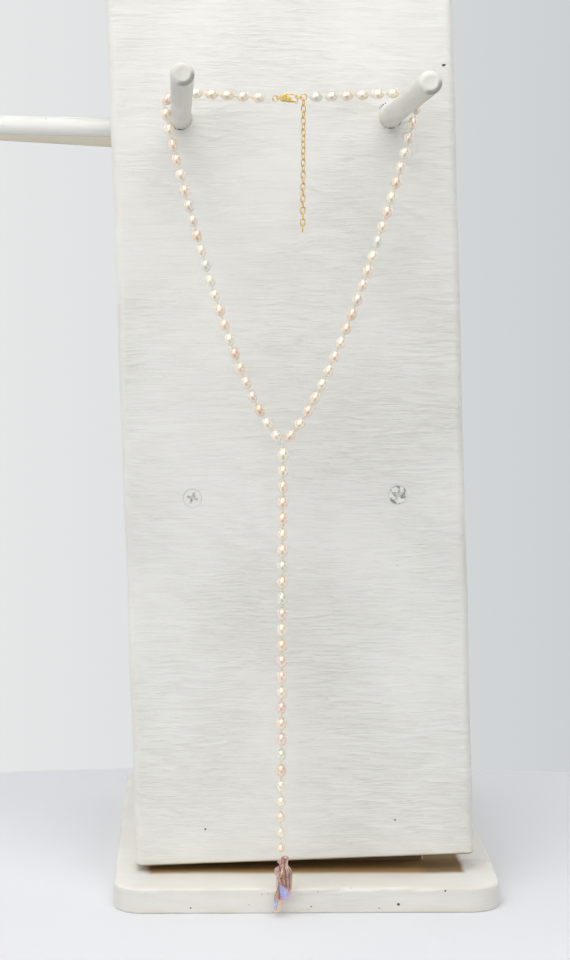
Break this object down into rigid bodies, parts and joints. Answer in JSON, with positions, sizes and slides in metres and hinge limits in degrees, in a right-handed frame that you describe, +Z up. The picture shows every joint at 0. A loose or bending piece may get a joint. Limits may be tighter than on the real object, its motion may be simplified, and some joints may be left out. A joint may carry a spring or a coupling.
{
  "type": "lariat necklace on a peg display stand",
  "caption": "Knotted oval pearl lariat with a baroque pearl drop, lobster clasp and chain extender, hung over the pegs of a white board stand.",
  "frame": {"origin": "middle of the base plate's underside, on the surface that the stand rests on", "axes": "+X to the right and +Y to the back as seen from the front, where the necklace hangs, +Z up"},
  "size_m": [0.2156, 0.3428, 0.3969],
  "materials": {
    "white_paint": "brushed satin house paint on wood",
    "cream_paint": "old cream paint on wood",
    "screw_steel": "zinc plated, partly painted over",
    "pearl": "pearl lustre",
    "silk": "twisted silk thread",
    "baroque_pearl": "metallic pearl lustre, mauve and lavender",
    "gold_plate": "polished gold plate"
  },
  "bodies": {
    "stand_and_necklace": {"stand_base": "white_paint", "stand_post": "white_paint", "stand_board": "white_paint", "peg_left": "white_paint", "peg_right": "white_paint", "board_screw_left": "screw_steel", "board_screw_right": "screw_steel", "side_rail_front": "white_paint", "side_rail_back": "cream_paint", "neck_pearls_left": "pearl", "neck_pearls_right": "pearl", "drop_pearls": "pearl", "neck_thread_left": "silk", "neck_thread_right": "silk", "drop_thread": "silk", "pendant_pearl": "baroque_pearl", "clasp_ring": "gold_plate", "clasp_body": "gold_plate", "hook_ring": "gold_plate", "extender_ring": "gold_plate", "extender_chain": "gold_plate"},
    "clasp_lever": {"clasp_lever": "gold_plate"}
  },
  "joints": [
    {"name": "clasp_lever_hinge", "type": "hinge", "parent": "stand_and_necklace", "child": "clasp_lever", "pos_m": [-0.012, -0.1125, 0.32482], "axis": [0, -1, 0], "range_deg": [0, 12], "stiffness_Nm_per_rad": 0.002, "springref_deg": -17.19}
  ]
}
